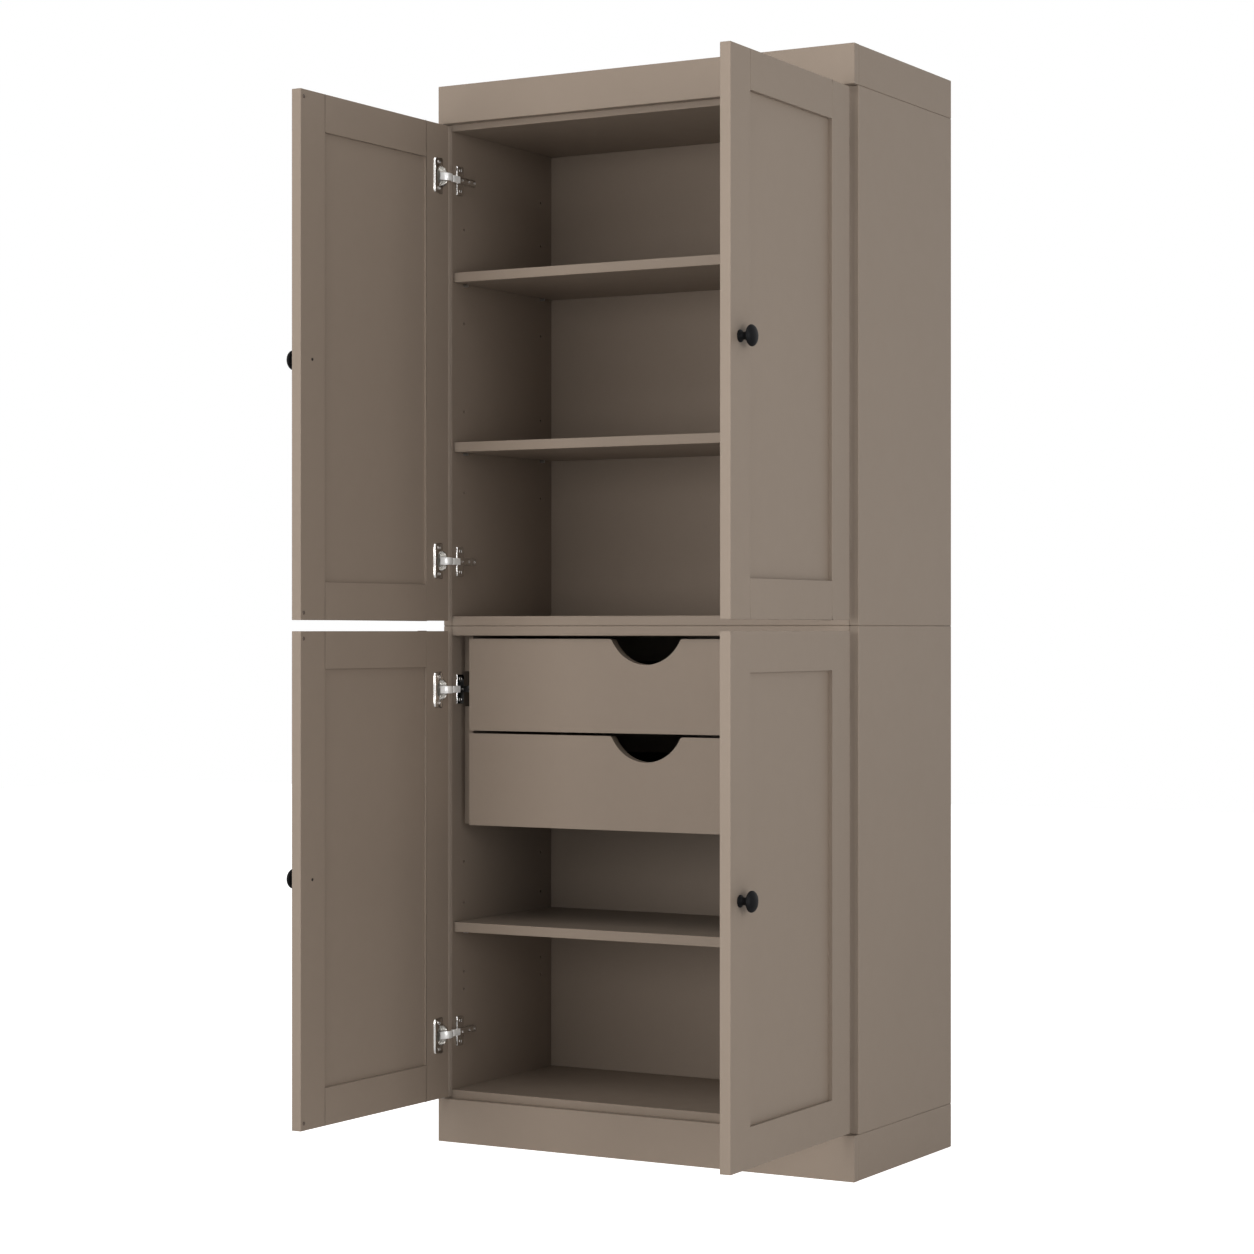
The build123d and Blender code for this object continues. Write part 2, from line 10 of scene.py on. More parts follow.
import bmesh
import bpy
import numpy as np
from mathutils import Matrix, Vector

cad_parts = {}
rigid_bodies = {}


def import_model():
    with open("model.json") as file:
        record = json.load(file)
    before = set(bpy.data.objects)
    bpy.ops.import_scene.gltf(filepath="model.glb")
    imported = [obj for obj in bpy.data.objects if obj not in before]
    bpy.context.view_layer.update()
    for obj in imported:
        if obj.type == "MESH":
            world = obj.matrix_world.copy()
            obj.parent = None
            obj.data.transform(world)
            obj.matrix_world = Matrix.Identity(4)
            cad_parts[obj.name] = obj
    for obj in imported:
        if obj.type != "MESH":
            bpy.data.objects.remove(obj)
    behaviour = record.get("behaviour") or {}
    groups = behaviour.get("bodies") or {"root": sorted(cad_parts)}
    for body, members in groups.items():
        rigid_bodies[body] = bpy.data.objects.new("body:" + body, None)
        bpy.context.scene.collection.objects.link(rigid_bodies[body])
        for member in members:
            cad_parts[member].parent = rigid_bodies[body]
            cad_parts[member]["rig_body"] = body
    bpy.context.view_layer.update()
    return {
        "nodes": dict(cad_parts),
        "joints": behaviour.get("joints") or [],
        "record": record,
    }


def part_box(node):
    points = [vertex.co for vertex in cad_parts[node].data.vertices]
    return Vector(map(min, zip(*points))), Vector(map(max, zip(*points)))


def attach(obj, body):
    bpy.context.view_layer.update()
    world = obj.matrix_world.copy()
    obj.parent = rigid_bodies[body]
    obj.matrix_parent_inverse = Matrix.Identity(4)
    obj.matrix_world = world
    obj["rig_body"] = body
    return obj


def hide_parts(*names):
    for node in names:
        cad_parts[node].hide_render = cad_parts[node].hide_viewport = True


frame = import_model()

log = logging.getLogger("pantry")


class Level(Enum):
    """The two cabinets, one on the other."""

    UPPER = "upper"
    LOWER = "lower"


class Hand(Enum):
    """Which way a piece faces: the right is the mirror image of the left."""

    LEFT = -1.0
    RIGHT = 1.0

    @property
    def word(self) -> str:
        """The hand's name as the frame's nodes spell it."""
        return self.name.lower()


class Slot(Enum):
    """The record's material slots."""

    BOARD = "painted_board"
    HARDBOARD = "painted_hardboard"
    DRAWER = "drawer_board"
    NICKEL = "hinge_nickel"
    SLIDE = "slide_steel"
    FITTING = "fitting_steel"
    KNOB = "knob_black"


# ---------------------------------------------------------------- shader building


class Shader:
    """A node tree with short calls to add and wire nodes."""

    def __init__(self, tree: bpy.types.NodeTree) -> None:
        """Keep the tree that the nodes go into.

        Args:
            tree: a material's, world's or group's node tree.
        """
        self.tree = tree

    def add(self, kind: str, inputs: dict | None = None, **settings: object) -> bpy.types.Node:
        """Add a node.

        Args:
            kind: the node's Blender type name.
            inputs: a value or an output socket for each named or numbered input.
            settings: the node's own properties.

        Returns:
            The new node.
        """
        node = self.tree.nodes.new(kind)
        for key, value in settings.items():
            setattr(node, key, value)
        for key, value in (inputs or {}).items():
            if isinstance(value, bpy.types.NodeSocket):
                self.tree.links.new(value, node.inputs[key])
            else:
                node.inputs[key].default_value = value
        return node

    def math(self, operation: str, first: object, second: object = 0.0) -> bpy.types.NodeSocket:
        """Add one arithmetic step and return its result socket."""
        return self.add("ShaderNodeMath", {0: first, 1: second}, operation=operation).outputs[0]

    def noise(self, where: object, scale: float, detail: float = 2.0, rough: float = 0.5) -> bpy.types.NodeSocket:
        """Add a noise texture and return its value, 0 to 1 about 0.5."""
        inputs = {"Vector": where, "Scale": scale, "Detail": detail, "Roughness": rough}
        return self.add("ShaderNodeTexNoise", inputs).outputs[0]

    def remap(self, value: object, low: float, high: float, to_low: float, to_high: float) -> bpy.types.NodeSocket:
        """Map a range of values to another, held at its ends, and return the result socket."""
        inputs = {0: value, 1: low, 2: high, 3: to_low, 4: to_high}
        return self.add("ShaderNodeMapRange", inputs).outputs[0]


def shader_group(name: str, inputs: dict[str, object], outputs: dict[str, str]) -> tuple[Shader, dict, Callable]:
    """Begin a shader node group.

    Args:
        name: the group's name.
        inputs: each input's default; a tuple of four is a colour, a tuple of three a vector, a number a value.
        outputs: each output's socket type.

    Returns:
        The group's shader, its input sockets by name, and a call that wires an output.
    """
    tree = bpy.data.node_groups.new(name, "ShaderNodeTree")
    kinds = {4: "NodeSocketColor", 3: "NodeSocketVector"}
    for key, value in inputs.items():
        kind = kinds[len(value)] if isinstance(value, tuple) else "NodeSocketFloat"
        tree.interface.new_socket(key, in_out="INPUT", socket_type=kind).default_value = value
    for key, kind in outputs.items():
        tree.interface.new_socket(key, in_out="OUTPUT", socket_type=kind)
    shader = Shader(tree)
    entry, leave = shader.add("NodeGroupInput"), shader.add("NodeGroupOutput")

    def wire(key: str, socket: bpy.types.NodeSocket) -> None:
        """Wire a socket to the group's named output."""
        tree.links.new(socket, leave.inputs[key])

    return shader, {key: entry.outputs[key] for key in inputs}, wire


def tint_drift_group() -> bpy.types.NodeTree:
    """Colour that drifts as sprayed paint does.

    The colour is multiplied by one plus three noises about zero: broad clouds, spray mottle and fine grain.

    Returns:
        The node group, with Colour out.
    """
    inputs = {"Colour": (0.3, 0.25, 0.2, 1.0), "Clouds": 0.03, "Mottle": 0.02, "Grain": 0.02}
    shader, given, wire = shader_group("tint_drift", inputs, {"Colour": "NodeSocketColor"})
    where = shader.add("ShaderNodeTexCoord").outputs["Object"]
    total = 1.0
    for key, scale, detail in (("Clouds", 2.6, 3.0), ("Mottle", 38.0, 3.0), ("Grain", 900.0, 1.0)):
        swing = shader.math("SUBTRACT", shader.noise(where, scale, detail, 0.55), 0.5)
        total = shader.math("ADD", total, shader.math("MULTIPLY", swing, given[key]))
    scaled = shader.add("ShaderNodeVectorMath", {0: given["Colour"], "Scale": total}, operation="SCALE")
    wire("Colour", scaled.outputs[0])
    return shader.tree


def spray_skin_group() -> bpy.types.NodeTree:
    """The skin of sprayed paint: the height of its orange peel and its uneven sheen.

    Height is fine noise plus a broader wave; roughness swings about its middle with mottle and faint rubbing.

    Returns:
        The node group, with Height and Roughness out.
    """
    inputs = {"Roughness": 0.42, "Swing": 0.08, "Pitch": 420.0}
    outputs = {"Height": "NodeSocketFloat", "Roughness": "NodeSocketFloat"}
    shader, given, wire = shader_group("spray_skin", inputs, outputs)
    where = shader.add("ShaderNodeTexCoord").outputs["Object"]
    fine = shader.add("ShaderNodeTexNoise", {"Vector": where, "Scale": given["Pitch"], "Detail": 1.5}).outputs[0]
    broad = shader.noise(where, 70.0, 1.0)
    wire("Height", shader.math("ADD", fine, shader.math("MULTIPLY", broad, 0.8)))
    swing = shader.math("SUBTRACT", shader.noise(where, 24.0, 4.0, 0.6), 0.5)
    wire("Roughness", shader.math("ADD", given["Roughness"], shader.math("MULTIPLY", swing, given["Swing"])))
    return shader.tree


def metal_skin_group() -> bpy.types.NodeTree:
    """The skin of plated sheet metal: brushing along Z, handling marks, and the height of both.

    Brushing is noise squeezed along Z; marks are the thin crests of a warped noise.

    Returns:
        The node group, with Tone, Roughness and Height out.
    """
    inputs = {"Roughness": 0.22, "Swing": 0.12, "Tone swing": 0.12}
    outputs = {"Tone": "NodeSocketFloat", "Roughness": "NodeSocketFloat", "Height": "NodeSocketFloat"}
    shader, given, wire = shader_group("metal_skin", inputs, outputs)
    where = shader.add("ShaderNodeTexCoord").outputs["Object"]
    along = shader.add("ShaderNodeMapping", {"Vector": where, "Scale": (1.0, 1.0, 0.06)}).outputs[0]
    brushed = shader.noise(along, 1500.0, 2.0)
    cloud = shader.noise(where, 120.0, 3.0)
    mark = shader.remap(shader.noise(where, 260.0, 2.0), 0.62, 0.7, 0.0, 1.0)
    blend = shader.math("ADD", shader.math("MULTIPLY", brushed, 0.6), shader.math("MULTIPLY", cloud, 0.4))
    swing = shader.math("SUBTRACT", blend, 0.5)
    wire("Tone", shader.math("ADD", 1.0, shader.math("MULTIPLY", swing, given["Tone swing"])))
    rough = shader.math("ADD", given["Roughness"], shader.math("MULTIPLY", swing, given["Swing"]))
    wire("Roughness", shader.math("ADD", rough, shader.math("MULTIPLY", mark, 0.06)))
    wire("Height", shader.math("SUBTRACT", brushed, shader.math("MULTIPLY", mark, 0.6)))
    return shader.tree


class Groups:
    """The shared shader groups, each built once."""

    built: dict[str, bpy.types.NodeTree] = {}

    @classmethod
    def take(cls, build: Callable[[], bpy.types.NodeTree]) -> bpy.types.NodeTree:
        """Return the group that a function builds, built on its first use."""
        if build.__name__ not in cls.built:
            cls.built[build.__name__] = build()
        return cls.built[build.__name__]


# ---------------------------------------------------------------- finishes


@dataclass(frozen=True)
class Finish:
    """What every finish has: a name, and a material made on its first use."""

    name: str

    def material(self) -> bpy.types.Material:
        """Return this finish's material."""
        found = bpy.data.materials.get(self.name)
        return found if found else self.make()

    def start(self) -> tuple[bpy.types.Material, Shader, bpy.types.Node]:
        """Begin a material.

        Returns:
            The material, its shader and its Principled node.
        """
        material = bpy.data.materials.new(self.name)
        material.use_nodes = True
        shader = Shader(material.node_tree)
        return material, shader, material.node_tree.nodes["Principled BSDF"]

    def make(self) -> bpy.types.Material:
        """Build the material."""
        raise NotImplementedError


@dataclass(frozen=True)
class SatinPaint(Finish):
    """Sprayed satin paint on board, with drifting tint, orange peel and uneven sheen."""

    colour: tuple[float, float, float] = (0.315, 0.261, 0.215)
    roughness: float = 0.40
    swing: float = 0.10
    clouds: float = 0.05
    mottle: float = 0.035
    grain: float = 0.05
    peel: float = 0.00006

    def make(self) -> bpy.types.Material:
        """Build the material."""
        material, shader, surface = self.start()
        tint = shader.add("ShaderNodeGroup", node_tree=Groups.take(tint_drift_group))
        tint.inputs["Colour"].default_value = (*self.colour, 1.0)
        for key, value in (("Clouds", self.clouds), ("Mottle", self.mottle), ("Grain", self.grain)):
            tint.inputs[key].default_value = value
        skin = shader.add("ShaderNodeGroup", node_tree=Groups.take(spray_skin_group))
        skin.inputs["Roughness"].default_value = self.roughness
        skin.inputs["Swing"].default_value = self.swing
        bump = shader.add("ShaderNodeBump", {"Height": skin.outputs["Height"], "Distance": self.peel})
        shader.tree.links.new(tint.outputs["Colour"], surface.inputs["Base Color"])
        shader.tree.links.new(skin.outputs["Roughness"], surface.inputs["Roughness"])
        shader.tree.links.new(bump.outputs["Normal"], surface.inputs["Normal"])
        surface.inputs["Specular IOR Level"].default_value = 0.13
        return material


@dataclass(frozen=True)
class Plating(Finish):
    """Plated steel with brushing and handling marks."""

    colour: tuple[float, float, float] = (0.78, 0.77, 0.75)
    roughness: float = 0.2
    swing: float = 0.12
    tone_swing: float = 0.12
    depth: float = 0.00003
    metal: float = 1.0
    coat: float = 0.0

    def make(self) -> bpy.types.Material:
        """Build the material."""
        material, shader, surface = self.start()
        skin = shader.add("ShaderNodeGroup", node_tree=Groups.take(metal_skin_group))
        skin.inputs["Roughness"].default_value = self.roughness
        skin.inputs["Swing"].default_value = self.swing
        skin.inputs["Tone swing"].default_value = self.tone_swing
        tone = shader.add("ShaderNodeVectorMath", {0: self.colour, "Scale": skin.outputs["Tone"]}, operation="SCALE")
        bump = shader.add("ShaderNodeBump", {"Height": skin.outputs["Height"], "Distance": self.depth})
        shader.tree.links.new(tone.outputs[0], surface.inputs["Base Color"])
        shader.tree.links.new(skin.outputs["Roughness"], surface.inputs["Roughness"])
        shader.tree.links.new(bump.outputs["Normal"], surface.inputs["Normal"])
        surface.inputs["Metallic"].default_value = self.metal
        surface.inputs["Coat Weight"].default_value = self.coat
        return material


GREIGE = SatinPaint("satin_greige")
BACKING = SatinPaint("satin_greige_backing", roughness=0.5, peel=0.0001, grain=0.08)
# The drawer boxes are near-black: painted shade, as dark as the inside of a shut drawer seen through its scoop.
DRAWER_SHADE_BLACK = SatinPaint(
    "charcoal_drawer_board", colour=(0.012, 0.011, 0.010), roughness=0.5, grain=0.25, peel=0.00008
)
POWDER_BLACK = SatinPaint(
    "powder_black", colour=(0.010, 0.010, 0.011), roughness=0.42, grain=0.3, peel=0.00012, swing=0.12
)
PAD_GREY = SatinPaint("pad_grey", colour=(0.16, 0.13, 0.11), roughness=0.3, peel=0.00002)
BRIGHT_NICKEL = Plating("bright_nickel", roughness=0.14, swing=0.08)
# Near-white and barely metallic, so the nickel hinge links and arm noses stay bright in soft light: a painted highlight
# standing in for their reflection of the lamps.
NICKEL_PAINTED_HIGHLIGHT = Plating(
    "white_zinc", colour=(0.97, 0.97, 0.96), roughness=0.34, swing=0.06, tone_swing=0.05, metal=0.12, coat=0.8
)
DARK_STEEL = Plating("dark_steel", colour=(0.10, 0.09, 0.085), roughness=0.4)
ZINC_STEEL = Plating("zinc_steel", colour=(0.62, 0.63, 0.65), roughness=0.32, tone_swing=0.2)


# ---------------------------------------------------------------- mesh building


@dataclass(frozen=True)
class Place:
    """A local frame: an origin and three unit directions in the row frame."""

    origin: np.ndarray
    x: np.ndarray
    y: np.ndarray
    z: np.ndarray

    def put(self, local: np.ndarray) -> np.ndarray:
        """Carry local points to the row frame: origin plus each coordinate times its direction."""
        return self.origin + local[..., :1] * self.x + local[..., 1:2] * self.y + local[..., 2:] * self.z

    def at(self, x: float, y: float, z: float = 0.0) -> "Place":
        """Return the same directions about a point given in this frame."""
        return Place(self.put(np.array([x, y, z], float)), self.x, self.y, self.z)


def rounded(line: np.ndarray, cut: float, steps: int = 5) -> np.ndarray:
    """Round a polyline's corners.

    Each corner is cut back along both its sides and bridged by a parabola that has the corner as its control point.

    Args:
        line: points, one row each.
        cut: how far the corners are cut back, at most 0.45 of a side.
        steps: points on each bridge.

    Returns:
        The longer line, with the same ends.
    """
    corner, before, after = line[1:-1], line[:-2] - line[1:-1], line[2:] - line[1:-1]
    long_b = np.linalg.norm(before, axis=1, keepdims=True)
    long_a = np.linalg.norm(after, axis=1, keepdims=True)
    start = corner + before * np.minimum(cut / long_b, 0.45)
    end = corner + after * np.minimum(cut / long_a, 0.45)
    t = np.linspace(0.0, 1.0, steps)[None, :, None]
    bridge = (1 - t) ** 2 * start[:, None] + 2 * t * (1 - t) * corner[:, None] + t**2 * end[:, None]
    return np.concatenate([line[:1], bridge.reshape(-1, line.shape[1]), line[-1:]])


def lathe(profile: np.ndarray, turns: int = 40) -> np.ndarray:
    """Turn a profile round the local Z axis: x is r cos t, y is r sin t, z is the height.

    Args:
        profile: rows of radius and height.
        turns: points round the axis.

    Returns:
        A grid of points, turns by profile rows.
    """
    t = np.linspace(0.0, 2 * math.pi, turns, endpoint=False)[:, None]
    r, h = profile[None, :, 0], profile[None, :, 1]
    return np.stack([r * np.cos(t), r * np.sin(t), h + 0 * t], -1)


def swept(section: np.ndarray, path: np.ndarray) -> np.ndarray:
    """Carry a closed section along a path in the local XY plane.

    A section point (n, z) goes to path point + n times the path's left-hand normal + z along Z. At each end the
    section closes on its own middle.

    Args:
        section: rows of (n, z), in order round the section.
        path: rows of (x, y).

    Returns:
        A grid of points, section rows by path rows and two ends.
    """
    ahead = np.gradient(path, axis=0)
    ahead /= np.linalg.norm(ahead, axis=1, keepdims=True)
    side = np.stack([-ahead[:, 1], ahead[:, 0]], 1)
    flat = path[None] + section[:, :1, None] * side[None]
    rise = np.broadcast_to(section[:, 1:, None], (*flat.shape[:2], 1))
    body = np.concatenate([flat, rise], 2)
    first, last = (np.repeat(body[:, i].mean(0)[None, None], len(section), 0) for i in (0, -1))
    return np.concatenate([first, body, last], 1)


def even(line: np.ndarray, count: int) -> np.ndarray:
    """Space a polyline's points evenly along its length.

    Args:
        line: points, one row each.
        count: how many points to return.

    Returns:
        The respaced line.
    """
    reach = np.concatenate([[0.0], np.cumsum(np.linalg.norm(np.diff(line, axis=0), axis=1))])
    where = np.linspace(0.0, reach[-1], count)
    return np.stack([np.interp(where, reach, line[:, i]) for i in range(line.shape[1])], 1)


def bevelled(inset: float, height: float) -> tuple[np.ndarray, np.ndarray]:
    """The edge of a pressed plate: a low foot, a broad bevel and a narrow turn on to the top.

    Args:
        inset: how far in the top begins.
        height: the plate's height.

    Returns:
        How far in and how high each point of the edge stands.
    """
    inward = np.array([0.0, 0.0, 0.06, 0.82, 1.0]) * inset
    return inward, np.array([0.0, 0.0004, 0.0006, height - 0.0002, height])


def pressed_plate(outline: np.ndarray, thick: float, inset: float) -> np.ndarray:
    """A flat plate with a bevelled edge, from an outline round the local origin.

    Its rows follow the outline. Its columns start at the middle of the foot, climb the edge and run in to the middle.

    Args:
        outline: rows of (x, y).
        thick: the plate's height.
        inset: how far in its top begins.

    Returns:
        A grid of points.
    """
    inward, height = bevelled(inset, thick)
    radius = np.linalg.norm(outline, axis=1)[:, None]
    scale = 1.0 - inward[None] / radius
    scale = np.concatenate([np.zeros((len(outline), 1)), scale, np.full_like(radius, 0.6), np.zeros_like(radius)], 1)
    height = np.concatenate([[0.0], height, [thick, thick]])
    flat = outline[:, None] * scale[..., None]
    return np.concatenate([flat, np.broadcast_to(height[None, :, None], (*scale.shape, 1))], 2)


def soft_box(half_x: float, half_y: float, power: float, count: int = 64) -> np.ndarray:
    """The outline of a superellipse: x and y are the half sizes times cos and sin raised to 2 over the power."""
    t = np.linspace(0.0, 2 * math.pi, count, endpoint=False)
    c, s = np.cos(t), np.sin(t)
    x = half_x * np.sign(c) * np.abs(c) ** (2 / power)
    return np.stack([x, half_y * np.sign(s) * np.abs(s) ** (2 / power)], 1)


def cross_screw(radius: float, rise: float, turns: int = 40) -> np.ndarray:
    """The head of a cross-recess screw, standing on the local XY plane.

    The height is a flattened dome, less a cross: the recess is deep where a point is near either arm's line and
    grows shallower towards the arms' ends.

    Args:
        radius: the head's radius.
        rise: its height.
        turns: points round it.

    Returns:
        A grid of points, turns by rings.
    """
    share = np.concatenate([np.linspace(0.0, 0.62, 9), [0.72, 0.84, 0.93, 0.98, 1.0]])
    t = np.linspace(0.0, 2 * math.pi, turns, endpoint=False)[:, None]
    x, y = share * np.cos(t), share * np.sin(t)
    dome = rise * np.sqrt(np.clip(1.0 - 0.8 * share**2, 0.0, 1.0)) + 0 * t
    near = np.minimum(np.abs(x), np.abs(y))
    reach = np.maximum(np.abs(x), np.abs(y))
    blade = np.clip((0.17 - near) / 0.06, 0.0, 1.0) * np.clip((0.62 - reach) / 0.12, 0.0, 1.0)
    top = dome - blade * rise * (0.95 - 0.8 * reach)
    grid = np.stack([radius * x, radius * y, top], -1)
    foot = grid[:, -1:].copy()
    foot[..., 2] = -0.0003
    return np.concatenate([grid, foot], 1)


class Skin:
    """Surfaces gathered on their way into one mesh."""

    def __init__(self) -> None:
        """Start with no surface."""
        self.points: list[np.ndarray] = []
        self.faces: list[np.ndarray] = []
        self.count = 0

    def grid(self, points: np.ndarray, around: bool = True) -> None:
        """Add a grid of points as quads.

        Args:
            points: rows by columns by three.
            around: whether the last row joins the first.
        """
        rows, columns = points.shape[:2]
        index = np.arange(rows * columns).reshape(rows, columns) + self.count
        index = np.vstack([index, index[:1]]) if around else index
        quads = np.stack([index[:-1, :-1], index[1:, :-1], index[1:, 1:], index[:-1, 1:]], -1)
        self.points.append(points.reshape(-1, 3))
        self.faces.append(quads.reshape(-1, 4))
        self.count += rows * columns

    def piece(self, name: str, body: str, slot: Slot, finish: Finish, sharp: float = 35.0) -> bpy.types.Object:
        """Make the gathered surfaces one object that rides on a body.

        Args:
            name: the piece's name.
            body: the body that it rides on.
            slot: the record's material slot; not used.
            finish: its finish.
            sharp: the angle in degrees past which an edge stays crisp.

        Returns:
            The object.
        """
        mesh = bpy.data.meshes.new(name)
        mesh.from_pydata(np.concatenate(self.points).tolist(), [], np.concatenate(self.faces).tolist())
        closing = bmesh.new()
        closing.from_mesh(mesh)
        bmesh.ops.remove_doubles(closing, verts=closing.verts, dist=2e-6)
        bmesh.ops.dissolve_degenerate(closing, edges=closing.edges, dist=1e-7)
        bmesh.ops.recalc_face_normals(closing, faces=closing.faces)
        closing.to_mesh(mesh)
        closing.free()
        mesh.polygons.foreach_set("use_smooth", np.ones(len(mesh.polygons), bool))
        mesh.set_sharp_from_angle(angle=math.radians(sharp))
        made = bpy.data.objects.new(name, mesh)
        bpy.context.scene.collection.objects.link(made)
        mesh.materials.append(finish.material())
        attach(made, body)
        return made


def eased(
    node: str,
    body: str,
    slot: Slot,
    finish: Finish,
    ease: float,
    shortest: float,
    sort: Callable[[np.ndarray], np.ndarray] | None = None,
) -> bpy.types.Object:
    """Stand a copy of a node, with its edges eased, for the node.

    The copy's doubles are merged and its flat faces joined, and a bevel of the given width rounds its long crisp edges.
    Where two sticks of the node touch, each is merged apart: a triangle belongs to the stick that holds its middle,
    moved a hair against its normal.

    Args:
        node: the CAD node.
        body: its body.
        slot: the record's material slot; not used.
        finish: its finish.
        ease: the bevel's width in metres.
        shortest: the length in metres under which an edge, as round a small bore, stays as it is.
        sort: numbers the stick that each of an array of points lies in.

    Returns:
        The copy.
    """
    mesh = frame["nodes"][node].data.copy()
    middles = np.array([f.center - f.normal * 1e-4 for f in mesh.polygons], float)
    sticks = sort(middles) if sort else np.zeros(len(middles), int)
    merging = bmesh.new()
    merging.from_mesh(mesh)
    bmesh.ops.split_edges(merging, edges=merging.edges)
    merging.faces.ensure_lookup_table()
    corners: list[set] = [{v for i in np.flatnonzero(sticks == k) for v in merging.faces[i].verts} for k in set(sticks)]
    for held in corners:
        bmesh.ops.remove_doubles(merging, verts=list(held), dist=1e-6)
    bmesh.ops.dissolve_limit(
        merging, angle_limit=math.radians(0.4), verts=merging.verts, edges=merging.edges, use_dissolve_boundaries=False
    )
    weight = merging.edges.layers.float.new("bevel_weight_edge")
    for edge in merging.edges:
        bent = len(edge.link_faces) == 2 and edge.calc_face_angle() > math.radians(40.0)
        edge[weight] = float(bent and edge.calc_length() > shortest)
    merging.to_mesh(mesh)
    merging.free()
    mesh.materials.clear()
    mesh.materials.append(finish.material())
    mesh.polygons.foreach_set("use_smooth", np.ones(len(mesh.polygons), bool))
    mesh.set_sharp_from_angle(angle=math.radians(30.0))
    made = bpy.data.objects.new(node + "_eased", mesh)
    bpy.context.scene.collection.objects.link(made)
    bevel = made.modifiers.new("ease", "BEVEL")
    bevel.width = ease
    bevel.segments = 2
    bevel.limit_method = "WEIGHT"
    bevel.use_clamp_overlap = True
    level = made.modifiers.new("level", "WEIGHTED_NORMAL")
    level.mode = "FACE_AREA"
    level.keep_sharp = True
    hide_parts(node)
    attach(made, body)
    return made


def body_of(node: str) -> str:
    """The body that a CAD node rides on."""
    return frame["nodes"][node]["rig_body"]


# ---------------------------------------------------------------- the cabinet's boards


@dataclass
class Boards:
    """Every painted board, its edges eased as a sanded and sprayed edge is."""

    ease: float = 0.0007
    fine_ease: float = 0.0008
    seam_ease: float = 0.0015
    shortest: float = 0.006
    stile: float = 0.063
    door_wide: float = 0.402
    backs: tuple[str, ...] = ("upper_back_panel", "lower_back_panel")
    seams: tuple[str, ...] = ("upper_bottom_panel", "lower_top_panel", "crown_sides", "plinth_sides")
    seam_ends: tuple[str, ...] = ("_left_side", "_right_side")

    def finish_of(self, node: str) -> Finish:
        """Choose a board's finish: near-black in the drawers as painted shade, flatter on the backs, greige elsewhere.
        """
        if slot_of(node) is Slot.DRAWER:
            return DRAWER_SHADE_BLACK
        return BACKING if node in self.backs else GREIGE

    def stick_of(self, node: str) -> Callable[[np.ndarray], np.ndarray]:
        """Tell a door frame's stiles from its rails.

        Args:
            node: the door frame's node.

        Returns:
            A call that numbers points 0 in the hinge stile, 1 in the rails and 2 in the free stile.
        """
        low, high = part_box(node)

        def number(points: np.ndarray) -> np.ndarray:
            """Number points by how far they lie from the door's hinge edge."""
            along = (high.y - points[:, 1]) / math.cos(math.radians(1.0))
            return np.digitize(along, (self.stile, self.door_wide - self.stile))

        return number

    def dress(self) -> None:
        """Ease and paint each board."""
        painted = [n for n in frame["nodes"] if slot_of(n) in (Slot.BOARD, Slot.HARDBOARD, Slot.DRAWER)]
        for node in sorted(painted):
            framed = node.endswith("door_frame")
            width = self.fine_ease if framed or node.endswith("door_panel") else self.ease
            width = self.seam_ease if node in self.seams or node.endswith(self.seam_ends) else width
            sort = self.stick_of(node) if framed else None
            eased(node, body_of(node), slot_of(node), self.finish_of(node), width, self.shortest, sort)
        log.info("boards: %d eased and painted", len(painted))


def slot_of(node: str) -> Slot:
    """The material slot of a CAD node, read from the record."""
    return NODE_SLOTS[node]


NODE_SLOTS = {part["node"]: Slot(part["material_slot"]) for part in frame["record"]["subparts"]}


# ---------------------------------------------------------------- doors: where they stand, knobs and hinges


@dataclass(frozen=True)
class Leaf:
    """One door as it stands open: its inner face's frame, worked out from its hinge's axis."""

    level: Level
    hand: Hand
    open_deg: float = 91.0
    thick: float = 0.018
    closed_corner: tuple[float, float] = (-0.403, -0.1875)

    @property
    def key(self) -> str:
        """The start of the names of this door's nodes."""
        return f"{self.level.value}_{self.hand.word}"

    @property
    def hinges(self) -> tuple[float, float]:
        """The heights of the door's hinges, at the middles of the lower and the upper cup."""
        low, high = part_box(self.key + "_hinge_cups")
        return low.z + 0.031, high.z - 0.031

    def place(self, outer: bool = False) -> Place:
        """The frame of a face: x from the hinge edge to the free edge, y up, z out of the face.

        Args:
            outer: the outer face rather than the inner one.

        Returns:
            The frame, at floor height on the hinge edge.
        """
        joint = next(j for j in frame["joints"] if j["name"] == self.key + "_door_hinge")
        pivot = np.array([-abs(joint["pos_m"][0]), joint["pos_m"][1]])
        a = -math.radians(self.open_deg)
        turn = np.array([[math.cos(a), -math.sin(a)], [math.sin(a), math.cos(a)]])
        corner = pivot + turn @ (np.array(self.closed_corner) - pivot)
        along, inward = turn @ np.array([1.0, 0.0]), turn @ np.array([0.0, 1.0])
        corner = corner if outer else corner + inward * self.thick
        facing = -inward if outer else inward
        flip = np.array([-self.hand.value, 1.0])
        lift = lambda v, z: np.array([*(v * flip), z])
        return Place(lift(corner, 0.0), lift(along, 0.0), np.array([0.0, 0.0, 1.0]), lift(facing, 0.0))


